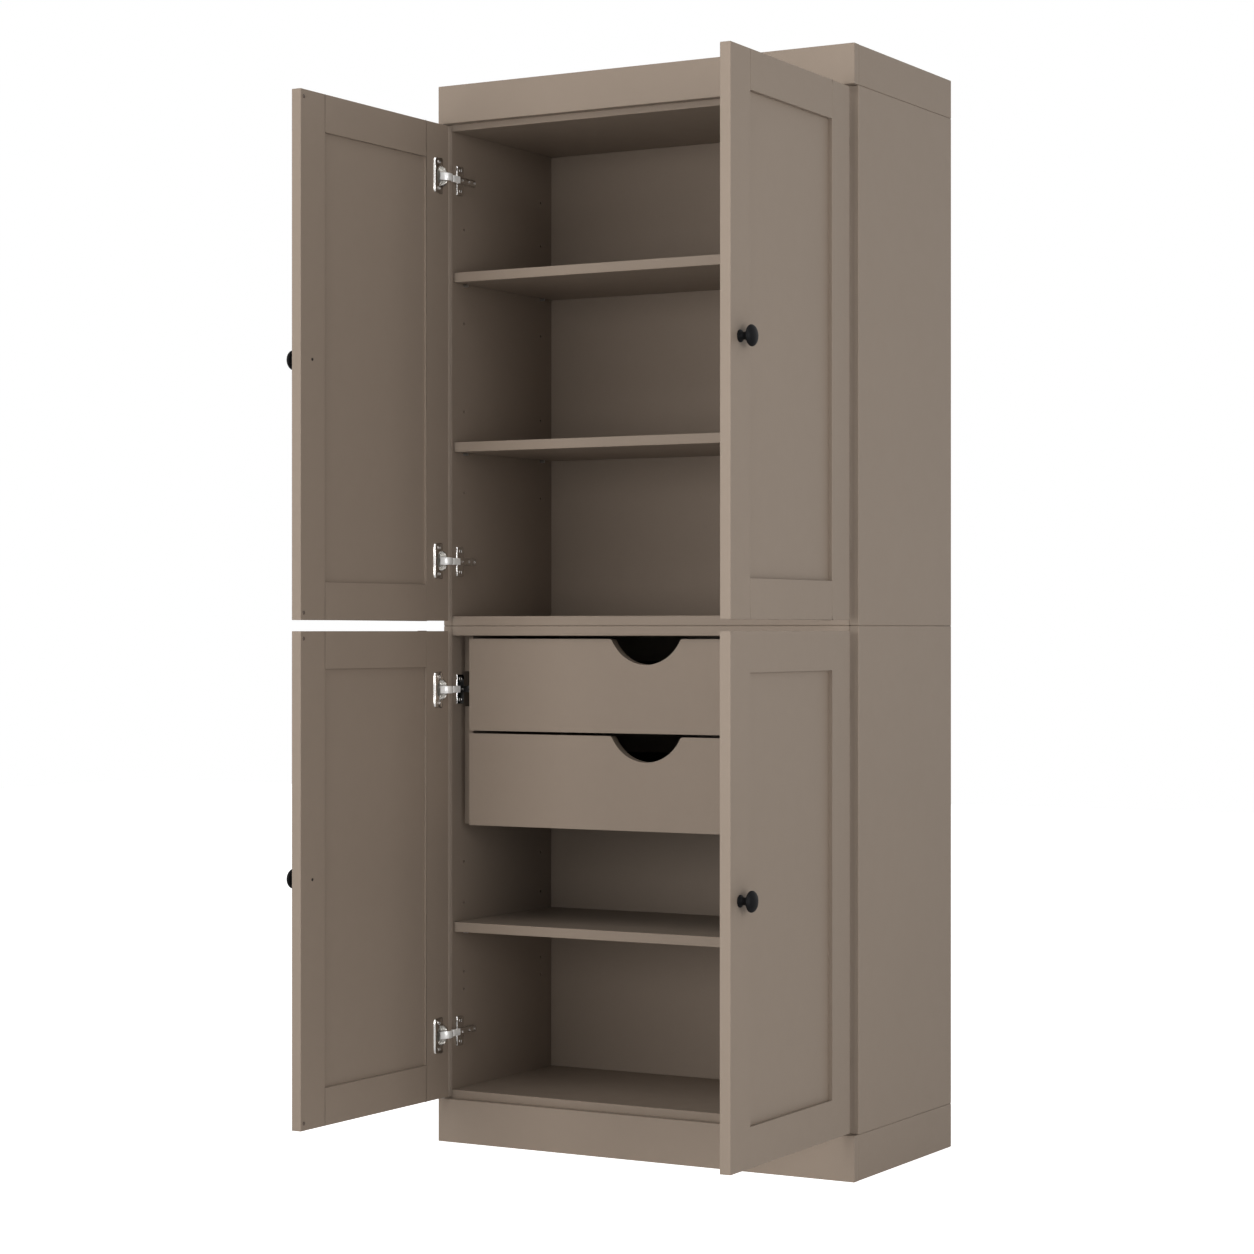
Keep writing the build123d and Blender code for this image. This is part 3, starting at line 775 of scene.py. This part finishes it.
@dataclass(frozen=True)
class Knob:
    """A turned mushroom knob in black, and its screw on the door's inner face."""

    leaf: Leaf
    from_hinge: float = 0.372
    screw_radius: float = 0.0022

    def profile(self) -> np.ndarray:
        """The knob's half outline: foot, waist, flared underside, rim and low crown, as (radius, height)."""
        line = [(9.5, 0), (9.5, 2.0), (6.9, 3.2), (5.8, 6.0), (5.9, 9.5), (7.6, 12.6), (12.0, 15.4), (15.4, 17.2)]
        line += [(16.5, 19.0), (16.1, 21.4), (14.2, 23.6), (10.5, 25.4), (5.5, 26.6), (0.0, 27.0)]
        return np.vstack([[0, 0], rounded(np.array(line), 2.2, 4)]) / 1000.0

    def build(self) -> bpy.types.Object:
        """Turn the knob and set its screw.

        Returns:
            The piece, riding on its door.
        """
        low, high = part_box(self.leaf.key + "_knob")
        middle = (low.z + high.z) / 2
        skin = Skin()
        skin.grid(self.leaf.place(outer=True).at(self.from_hinge, middle).put(lathe(self.profile(), 56)))
        made = skin.piece(self.leaf.key + "_turned_knob", self.leaf.key + "_door", Slot.KNOB, POWDER_BLACK, 60.0)
        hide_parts(self.leaf.key + "_knob")
        back = Skin()
        back.grid(self.leaf.place().at(self.from_hinge, middle).put(cross_screw(self.screw_radius, 0.0009)))
        back.piece(self.leaf.key + "_knob_screw", self.leaf.key + "_door", Slot.KNOB, DARK_STEEL)
        return made


@dataclass(frozen=True)
class Bumpers:
    """Two soft pads on a door's inner face, near its free corners, that meet the cabinet when it shuts."""

    leaf: Leaf
    from_hinge: float = 0.394
    from_end: float = 0.012
    radius: float = 0.0032
    rise: float = 0.0014

    def build(self) -> bpy.types.Object:
        """Turn both pads.

        Returns:
            The piece, riding on its door.
        """
        low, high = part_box(self.leaf.key + "_door_frame")
        t = np.linspace(0.0, math.pi / 2, 9)
        dome = np.stack([self.radius * np.sin(t), self.rise * np.cos(t)], 1)
        skin = Skin()
        for height in (low.z + self.from_end, high.z - self.from_end):
            pad = np.vstack([dome, [[self.radius, -0.0003]]])[::-1]
            skin.grid(self.leaf.place().at(self.from_hinge, height).put(lathe(pad, 32)))
        return skin.piece(self.leaf.key + "_bumpers", self.leaf.key + "_door", Slot.BOARD, PAD_GREY)


@dataclass(frozen=True)
class HingeCup:
    """A drawn cup with its screwed wing, let into a door's inner face."""

    leaf: Leaf
    from_edge: float = 0.021
    cup_radius: float = 0.0175
    wing_reach: tuple[float, float] = (0.004, 0.022)
    wing_half: float = 0.031
    thick: float = 0.0034
    inset: float = 0.0017
    depth: float = 0.0112
    screw_in: float = 0.0095
    screw_half: float = 0.0225

    def outline(self, turns: int = 128) -> np.ndarray:
        """The wing's radius round the cup: the greater, softly joined, of a superellipse and the cup's rim."""
        t = np.linspace(0.0, 2 * math.pi, turns, endpoint=False)
        reach = np.where(np.cos(t) < 0, *self.wing_reach)
        box = ((np.abs(np.cos(t)) / reach) ** 9 + (np.abs(np.sin(t)) / self.wing_half) ** 9) ** (-1 / 9)
        return (box**18 + (self.cup_radius + 0.0015) ** 18) ** (1 / 18)

    def surface(self) -> np.ndarray:
        """The wing and cup as one sheet: up the wing's edge, over its top, round the cup's lip and to its floor.

        Returns:
            A grid of points, turns by steps inwards.
        """
        outer = self.outline()[:, None]
        c, h = self.cup_radius, self.thick
        inward, edge_h = bevelled(self.inset, h)
        edge_r = outer - inward[None]
        floor = -self.depth
        inner = [(c - 0.0004, h), (c - 0.0006, h - 0.0002), (c - 0.0008, 0.0), (c - 0.0008, 0.5 * floor)]
        inner += [(c - 0.0008, floor + 0.002), (c - 0.0014, floor + 0.0006), (c - 0.0028, floor)]
        inner += [(0.006, floor), (0.0055, floor + 0.0005), (0.0, floor + 0.0005)]
        rings = np.array(inner)
        radius = np.concatenate([edge_r, np.broadcast_to(rings[None, :, 0], (len(outer), len(rings)))], 1)
        height = np.concatenate([edge_h, rings[:, 1]])
        t = np.linspace(0.0, 2 * math.pi, len(outer), endpoint=False)[:, None]
        x = radius * np.cos(t)
        share = np.where(height > 0.0, self.lift(x) / self.thick, 1.0)
        return np.stack([x, radius * np.sin(t), height * share], -1)

    def lift(self, x: float | np.ndarray) -> float | np.ndarray:
        """The wing's height at x from the cup's middle: low by the hinge edge, up a smooth step to its far strip."""
        step = np.clip((x - 0.003) / 0.010, 0.0, 1.0)
        return self.thick * (0.34 + 0.66 * step**2 * (3 - 2 * step))

    def build(self) -> bpy.types.Object:
        """Press both of the door's cups and set their screws.

        Returns:
            The piece, riding on its door.
        """
        skin = Skin()
        for height in self.leaf.hinges:
            cup = self.leaf.place().at(self.from_edge, height)
            skin.grid(cup.put(self.surface()))
            for side in (-1, 1):
                screw = cross_screw(0.0036, 0.0014)
                skin.grid(cup.at(self.screw_in, side * self.screw_half, self.lift(self.screw_in)).put(screw))
        made = skin.piece(self.leaf.key + "_pressed_cups", self.leaf.key + "_door", Slot.NICKEL, BRIGHT_NICKEL)
        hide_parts(self.leaf.key + "_hinge_cups")
        return made


@dataclass(frozen=True)
class HingeLink:
    """The pressed link between a hinge's arm and its cup: a crowned strip with a folded cheek on each side."""

    leaf: Leaf
    pin: tuple[float, float] = (-0.380, -0.1755)
    route: tuple = ((0.0, -2.0), (7.0, -12.0), (7.5, -24.5), (2.0, -28.5), (-1.0, -37.0))
    half_width: float = 0.0064
    crown: float = 0.0009

    def section(self) -> np.ndarray:
        """The strip's section: a bulged outer line, a cheek down each side and the inner line back."""
        z = np.linspace(-1.0, 1.0, 11)
        outer = np.stack([0.0006 + self.crown * (1 - z**2), z * self.half_width], 1)
        inner = np.stack([-0.0005 + 0.6 * self.crown * (1 - z**2), z * (self.half_width - 0.0012)], 1)[::-1]
        foot = -0.0018
        cheeks = [(foot, self.half_width), (foot, self.half_width - 0.0012)]
        others = [(foot, -self.half_width + 0.0012), (foot, -self.half_width)]
        return np.vstack([outer, cheeks, inner, others])

    def build(self) -> bpy.types.Object:
        """Press both of the door's links.

        Returns:
            The piece, riding on the body that turns about the arms' pins.
        """
        path = np.array(self.route) / 1000.0
        path = even(rounded(path, 0.0045, 6), 26)
        strip = swept(self.section(), path)
        skin = Skin()
        side = -self.leaf.hand.value
        for height in self.leaf.hinges:
            origin = np.array([side * self.pin[0], self.pin[1], height])
            skin.grid(Place(origin, np.array([side, 0.0, 0.0]), np.array([0.0, 1.0, 0.0]), UP).put(strip))
        # The nickel links take the near-white painted highlight finish.
        made = skin.piece(self.leaf.key + "_pressed_links", self.leaf.key + "_links", Slot.NICKEL, NICKEL_PAINTED_HIGHLIGHT)
        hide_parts(self.leaf.key + "_hinge_links")
        return made


UP = np.array([0.0, 0.0, 1.0])


@dataclass(frozen=True)
class SideHinges:
    """What the hinges have on the cabinet's sides: pressed plates, their screws, and arms with their adjusters."""

    leaves: tuple[Leaf, ...]
    side_x: float = -0.388
    plate_y: float = -0.146
    plate_half: tuple[float, float] = (0.0105, 0.0265)
    plate_thick: float = 0.0034
    inset: float = 0.0015
    spine_half: tuple[float, float] = (0.0265, 0.007)
    screw_half: float = 0.018
    arm_nose: tuple = ((5.2, -176.6), (8.4, -177.6), (10.2, -174.6), (10.3, -156.5))
    arm_tail: tuple = ((9.3, -135.0), (9.2, -107.0), (6.4, -103.8))
    arm_half: float = 0.005
    nose_half: float = 0.0058
    adjusters: tuple[float, ...] = (-0.150, -0.128, -0.112)

    def place(self, leaf: Leaf, height: float) -> Place:
        """The frame of a side's inner face at the plate's middle: x to the rear, y up, z into the cabinet."""
        side = -leaf.hand.value
        origin = np.array([side * self.side_x, self.plate_y, height])
        return Place(origin, np.array([0.0, 1.0, 0.0]), UP, np.array([side, 0.0, 0.0]))

    def arm(self, line: tuple, half: float, depth: float) -> np.ndarray:
        """A length of the arm: a channel section carried along a line.

        Args:
            line: (height off the side, depth into the cabinet's frame) pairs in millimetres.
            half: half the channel's width.
            depth: how deep its cheeks are.

        Returns:
            A grid of points in the plate's frame, with y across the channel.
        """
        path = np.array(line)[:, ::-1] / 1000.0 - np.array([self.plate_y, 0.0])
        path = even(rounded(path, 0.003, 6), 30)
        z = np.linspace(-1.0, 1.0, 7)
        outer = np.stack([0.0003 * (1 - z**2), z * half], 1)
        inner = np.stack([-0.0012 + 0 * z, z * (half - 0.0011)], 1)[::-1]
        cheeks = [(-depth, half), (-depth, half - 0.0011)]
        others = [(-depth, 0.0011 - half), (-depth, -half)]
        run = swept(np.vstack([outer, cheeks, inner, others]), path)
        return np.stack([run[..., 0], run[..., 2], run[..., 1]], -1)

    def build(self) -> list[bpy.types.Object]:
        """Press the plates and arms and set the screws.

        Returns:
            The plates' piece, the arms' piece and the piece of the arms' noses.
        """
        plates, arms, noses = Skin(), Skin(), Skin()
        for leaf in self.leaves:
            for height in leaf.hinges:
                here = self.place(leaf, height)
                plates.grid(here.put(pressed_plate(soft_box(*self.plate_half, 9.0), self.plate_thick, self.inset)))
                spine = pressed_plate(soft_box(*self.spine_half, 7.0), self.plate_thick + 0.0008, self.inset)
                plates.grid(here.at(0.016, 0.0).put(spine))
                for side in (-1, 1):
                    plates.grid(here.at(0.0, side * self.screw_half, self.plate_thick).put(cross_screw(0.0036, 0.0015)))
                arms.grid(here.put(self.arm(self.arm_nose[-1:] + self.arm_tail, self.arm_half, 0.0048)))
                noses.grid(here.put(self.arm(self.arm_nose, self.nose_half, 0.0034)))
                for y, lift in zip(self.adjusters, (0.0101, 0.0093, 0.0092)):
                    arms.grid(here.at(y - self.plate_y, 0.0, lift).put(cross_screw(0.0028, 0.0010)))
        made = [
            plates.piece("pressed_hinge_plates", "cabinet", Slot.NICKEL, BRIGHT_NICKEL),
            arms.piece("pressed_hinge_arms", "cabinet", Slot.NICKEL, BRIGHT_NICKEL),
            # The nickel noses take the near-white painted highlight finish.
            noses.piece("pressed_hinge_noses", "cabinet", Slot.NICKEL, NICKEL_PAINTED_HIGHLIGHT),
        ]
        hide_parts("hinge_plates", "hinge_plate_screws")
        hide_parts("hinge_arms")
        return made


@dataclass
class Hardware:
    """The CAD fittings that keep their shape and take a plated finish."""

    def dress(self) -> None:
        """Give each metal or black node its finish."""
        finishes = {Slot.NICKEL: BRIGHT_NICKEL, Slot.SLIDE: ZINC_STEEL, Slot.FITTING: ZINC_STEEL, Slot.KNOB: POWDER_BLACK}
        for node, held in frame["nodes"].items():
            finish = finishes.get(slot_of(node))
            if finish and not held.hide_render:
                held.data.materials.clear()
                held.data.materials.append(finish.material())
        log.info("hardware: plated and blackened")


# ---------------------------------------------------------------- studio


@dataclass
class Studio:
    """A pale floor, soft light from the front and the right, and the camera."""

    eye: tuple[float, float, float] = (2.5075, -4.3193, 0.88648)
    turn_deg: float = 28.025
    lens: float = 82.99
    shift: tuple[float, float] = (-0.13796, 0.00262)
    sky: float = 0.415
    gloss: float = 1.0
    front_power: float = 111.0
    side_power: float = 121.0
    top_power: float = 60.0
    floor_glow: float = 0.18
    floor_seen: float = 0.9
    gamma: float = 0.84

    def camera(self) -> None:
        """Stand the camera level, turned to the cabinet's front right."""
        data = bpy.data.cameras.new("studio_camera")
        data.sensor_width = 36.0
        data.lens = self.lens
        data.shift_x, data.shift_y = self.shift
        data.clip_end = 60.0
        made = bpy.data.objects.new("studio_camera", data)
        made.location = self.eye
        made.rotation_euler = (math.pi / 2, 0.0, math.radians(self.turn_deg))
        bpy.context.scene.collection.objects.link(made)
        bpy.context.scene.camera = made

    def lamp(self, name: str, size: tuple[float, float], place: tuple, aim: tuple, power: float) -> None:
        """Hang a rectangular soft lamp at a place, aimed at a point."""
        data = bpy.data.lights.new(name, "AREA")
        data.shape = "RECTANGLE"
        data.size, data.size_y = size
        data.energy = power
        made = bpy.data.objects.new(name, data)
        made.location = place
        made.rotation_euler = (Vector(aim) - Vector(place)).to_track_quat("-Z", "Y").to_euler()
        made.visible_camera = False
        bpy.context.scene.collection.objects.link(made)

    def surroundings(self) -> None:
        """Fill the room with an even pale light, white where the camera looks past the object."""
        world = bpy.data.worlds.new("studio_air")
        world.use_nodes = True
        bpy.context.scene.world = world
        shader = Shader(world.node_tree)
        world.node_tree.nodes.clear()
        rays = shader.add("ShaderNodeLightPath").outputs
        seen = shader.math("MAXIMUM", rays["Is Camera Ray"], shader.math("MULTIPLY", rays["Is Glossy Ray"], self.gloss))
        power = shader.remap(seen, 0.0, 1.0, self.sky, 1.0)
        glow = shader.add("ShaderNodeBackground", {"Color": (1.0, 1.0, 1.0, 1.0), "Strength": power})
        shader.add("ShaderNodeOutputWorld", {"Surface": glow.outputs[0]})

    def floor(self) -> None:
        """Lay a pale floor that looks white and throws only a little light back up."""
        points = np.array([[-9, -9, 0], [9, -9, 0], [9, 9, 0], [-9, 9, 0]], float)
        mesh = bpy.data.meshes.new("studio_floor")
        mesh.from_pydata(points.tolist(), [], [(0, 1, 2, 3)])
        made = bpy.data.objects.new("studio_floor", mesh)
        bpy.context.scene.collection.objects.link(made)
        material = bpy.data.materials.new("pale_floor")
        material.use_nodes = True
        surface = material.node_tree.nodes["Principled BSDF"]
        surface.inputs["Base Color"].default_value = (0.7, 0.7, 0.7, 1.0)
        surface.inputs["Roughness"].default_value = 0.9
        surface.inputs["Specular IOR Level"].default_value = 0.1
        surface.inputs["Emission Color"].default_value = (1.0, 1.0, 1.0, 1.0)
        shader = Shader(material.node_tree)
        seen = shader.add("ShaderNodeLightPath").outputs["Is Camera Ray"]
        glow = shader.remap(seen, 0.0, 1.0, self.floor_glow, self.floor_seen)
        shader.tree.links.new(glow, surface.inputs["Emission Strength"])
        mesh.materials.append(material)

    def build(self) -> None:
        """Set up the floor, the light and the camera."""
        self.camera()
        self.surroundings()
        self.floor()
        self.lamp("front_lamp", (3.6, 2.8), (-0.9, -5.2, 0.95), (0.0, -0.2, 0.95), self.front_power)
        self.lamp("side_lamp", (2.4, 2.6), (4.7, -3.1, 1.2), (0.0, -0.2, 0.95), self.side_power)
        self.lamp("top_lamp", (3.0, 3.0), (-0.2, -3.0, 4.4), (0.0, -0.2, 0.9), self.top_power)
        scene = bpy.context.scene
        scene.view_settings.view_transform = "Standard"
        scene.view_settings.gamma = self.gamma
        log.info("studio: camera, floor and three lamps")


# ---------------------------------------------------------------- the whole


def main() -> None:
    """Build every sub-assembly in order."""
    logging.basicConfig(level=logging.INFO, format="%(message)s")
    Studio().build()
    Boards().dress()
    leaves = tuple(Leaf(level, hand) for level in Level for hand in Hand)
    for leaf in leaves:
        for part in (Knob(leaf), Bumpers(leaf), HingeCup(leaf), HingeLink(leaf)):
            log.info("door: %s", part.build().name)
    log.info("sides: %s", ", ".join(piece.name for piece in SideHinges(leaves).build()))
    Hardware().dress()
    log.info("sizes written")


if __name__ == "__main__":
    main()
